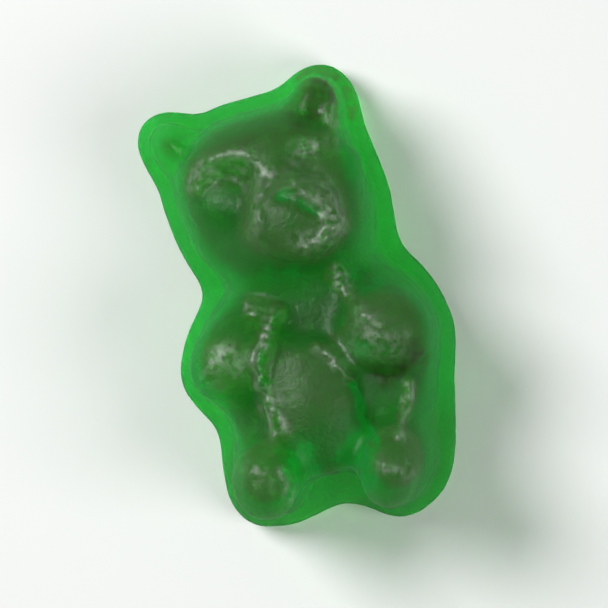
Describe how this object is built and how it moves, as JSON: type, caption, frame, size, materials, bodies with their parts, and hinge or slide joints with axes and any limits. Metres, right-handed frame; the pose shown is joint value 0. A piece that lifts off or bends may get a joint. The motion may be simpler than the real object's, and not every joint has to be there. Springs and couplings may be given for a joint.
{
  "type": "gummy bear",
  "caption": "Chewy translucent fruit gum sweet shaped as a sitting bear with ears, snout, paws and feet, on a flat cast back.",
  "frame": {"origin": "on the surface that the back rests on, under the middle of the bear's outline", "axes": "+Y from the feet to the ears, +Z out of the belly and up, +X to the right of someone who looks at the face with the ears at the top"},
  "size_m": [0.0128, 0.0212, 0.0115],
  "materials": {
    "fruit_gum": "translucent green fruit gum, satin with a fine grain, deep olive green where thick and bright green at thin edges"
  },
  "bodies": {
    "root": {"gummy_bear": "fruit_gum"}
  },
  "joints": []
}
